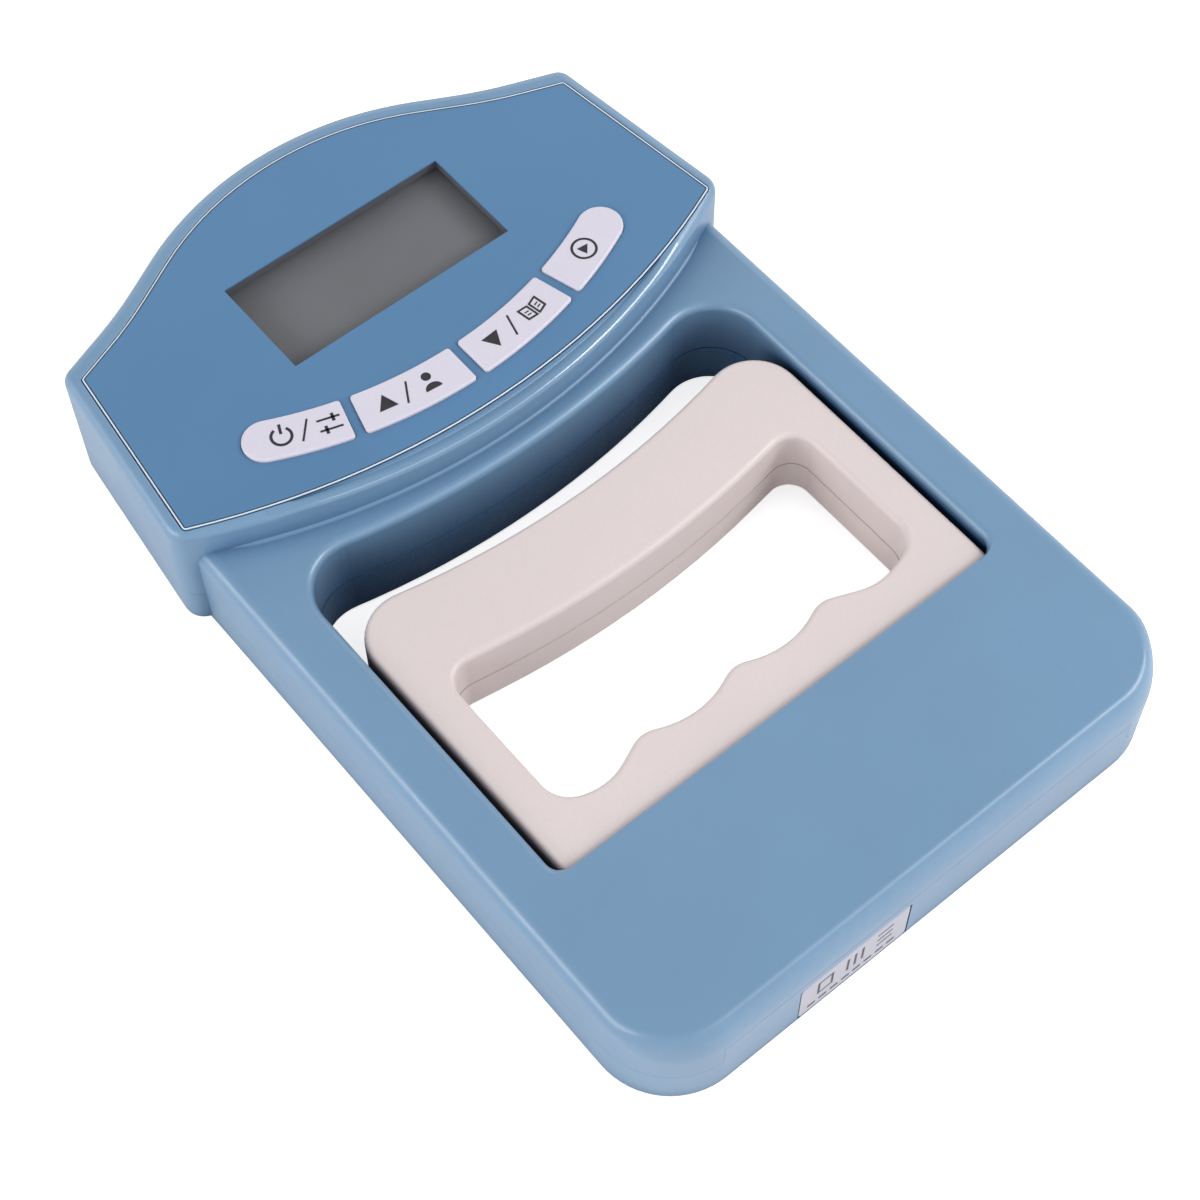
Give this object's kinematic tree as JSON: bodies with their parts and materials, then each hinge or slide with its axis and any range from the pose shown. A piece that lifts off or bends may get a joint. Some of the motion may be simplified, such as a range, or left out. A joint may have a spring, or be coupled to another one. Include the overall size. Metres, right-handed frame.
{
  "type": "hand dynamometer",
  "caption": "Digital grip-strength meter: bell-topped display head, flat body with a window, and a sliding finger grip that presses on a load cell.",
  "frame": {"origin": "on the back plane, in the plane of symmetry, at the middle of the length", "axes": "+X to the reader's right, +Y towards the display end, +Z out of the front face"},
  "size_m": [0.1278, 0.1931, 0.0307],
  "materials": {
    "housing_blue": "satin pale blue ABS, fine moulded texture, roughness about 0.38",
    "panel_film": "printed polycarbonate film, smooth satin, roughness about 0.33",
    "grip_white": "warm white moulded plastic, satin, roughness about 0.42",
    "key_white": "cool white moulded key, satin",
    "display_grey": "blank grey liquid-crystal cell, smooth",
    "clear_lens": "clear acrylic lens, polished",
    "holder_black": "black moulded holder",
    "elastomer": "striped grey conductive rubber",
    "board_green": "glass-fibre board with green solder mask",
    "chip_black": "black epoxy",
    "steel": "cold-rolled steel, deburred",
    "zinc": "zinc-plated steel fastener",
    "aluminium": "milled aluminium, satin",
    "nickel": "nickel-plated spring steel",
    "cell_wrap": "printed cell sleeve with metal ends",
    "cable_grey": "grey cable jacket",
    "wire_red": "red wire insulation",
    "wire_black": "black wire insulation",
    "label_white": "white adhesive label",
    "gauge_amber": "polyimide foil gauge"
  },
  "bodies": {
    "housing": {"front_housing": "housing_blue", "rear_housing": "housing_blue", "panel_overlay": "panel_film", "display_window": "clear_lens", "lcd_panel": "display_grey", "lcd_holder": "holder_black", "lcd_connector": "elastomer", "main_board": "board_green", "controller_chip": "chip_black", "switch_power": "chip_black", "switch_up": "chip_black", "switch_down": "chip_black", "switch_start": "chip_black", "battery_lower": "cell_wrap", "battery_upper": "cell_wrap", "contact_positive": "nickel", "contact_negative": "nickel", "contact_bridge": "nickel", "spring_lower": "nickel", "spring_upper": "nickel", "battery_wire_red": "wire_red", "battery_wire_black": "wire_black", "load_cell": "aluminium", "load_cell_mount": "steel", "load_cell_bolt_left": "zinc", "strain_gauge_left": "gauge_amber", "load_cell_bolt_right": "zinc", "strain_gauge_right": "gauge_amber", "load_cell_cable": "cable_grey", "housing_screw_1": "zinc", "housing_screw_2": "zinc", "housing_screw_3": "zinc", "housing_screw_4": "zinc", "housing_screw_5": "zinc", "housing_screw_6": "zinc", "board_screw_1": "zinc", "board_screw_2": "zinc", "board_screw_3": "zinc", "board_screw_4": "zinc", "rating_label": "label_white"},
    "grip": {"grip_front": "grip_white", "grip_rear": "grip_white", "grip_core": "steel", "load_button": "zinc", "grip_screw_1": "zinc", "grip_screw_2": "zinc", "grip_screw_3": "zinc", "grip_screw_4": "zinc"},
    "battery_door": {"battery_door": "housing_blue"},
    "key_power": {"key_power": "key_white", "plunger_power": "key_white"},
    "key_up": {"key_up": "key_white", "plunger_up": "key_white"},
    "key_down": {"key_down": "key_white", "plunger_down": "key_white"},
    "key_start": {"key_start": "key_white", "plunger_start": "key_white"}
  },
  "joints": [
    {"name": "handle_squeeze", "type": "slide", "parent": "housing", "child": "grip", "axis": [0, -1, 0], "range_m": [0, 0.0012]},
    {"name": "power_press", "type": "slide", "parent": "housing", "child": "key_power", "axis": [0, 0, -1], "range_m": [0, 0.0005]},
    {"name": "up_press", "type": "slide", "parent": "housing", "child": "key_up", "axis": [0, 0, -1], "range_m": [0, 0.0005]},
    {"name": "down_press", "type": "slide", "parent": "housing", "child": "key_down", "axis": [0, 0, -1], "range_m": [0, 0.0005]},
    {"name": "start_press", "type": "slide", "parent": "housing", "child": "key_start", "axis": [0, 0, -1], "range_m": [0, 0.0005]},
    {"name": "battery_door_open", "type": "hinge", "parent": "housing", "child": "battery_door", "pos_m": [0, 0.0498, 0], "axis": [-1, 0, 0], "range_deg": [0, 100]}
  ]
}
